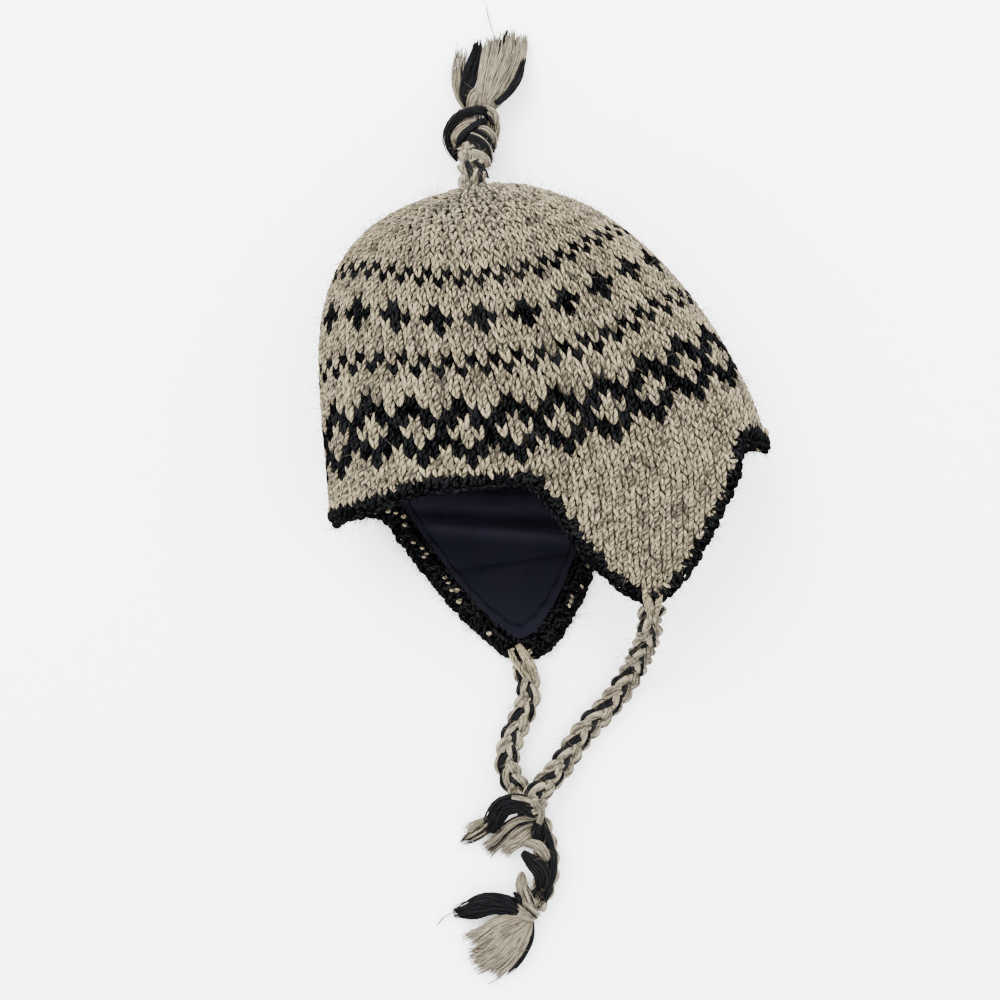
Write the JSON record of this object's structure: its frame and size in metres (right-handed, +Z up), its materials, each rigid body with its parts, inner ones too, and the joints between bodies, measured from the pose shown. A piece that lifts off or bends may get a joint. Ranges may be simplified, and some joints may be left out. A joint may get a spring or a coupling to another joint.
{
  "type": "chullo hat",
  "caption": "Knitted chullo hat lying on its side, with lined ear flaps, a crocheted edge, braided ties and a braid with a tassel at the crown.",
  "frame": {"origin": "on the surface that the hat lies on, under the middle of its outline without the ties", "axes": "+Z up from the surface, +Y towards the crown's tassel, +X towards the nape side of the rim"},
  "size_m": [0.2218, 0.5109, 0.0863],
  "materials": {
    "natural_wool": "heathered taupe hand-spun wool in stocking stitch, with a charcoal pattern",
    "charcoal_wool": "charcoal wool, crocheted",
    "navy_fleece": "navy-black fleece, matt, hemmed",
    "braid_wool": "natural and charcoal yarns braided in three strands",
    "tassel_wool": "loose cut yarn ends, natural and charcoal"
  },
  "bodies": {
    "root": {"knit_shell": "natural_wool", "fleece_lining": "navy_fleece", "crochet_edging": "charcoal_wool", "top_braid": "braid_wool", "top_knot": "braid_wool", "top_tassel": "tassel_wool", "left_tie_braid": "braid_wool", "left_tie_knot": "braid_wool", "left_tie_tassel": "tassel_wool", "right_tie_braid": "braid_wool", "right_tie_knot": "braid_wool", "right_tie_tassel": "tassel_wool"}
  },
  "joints": []
}
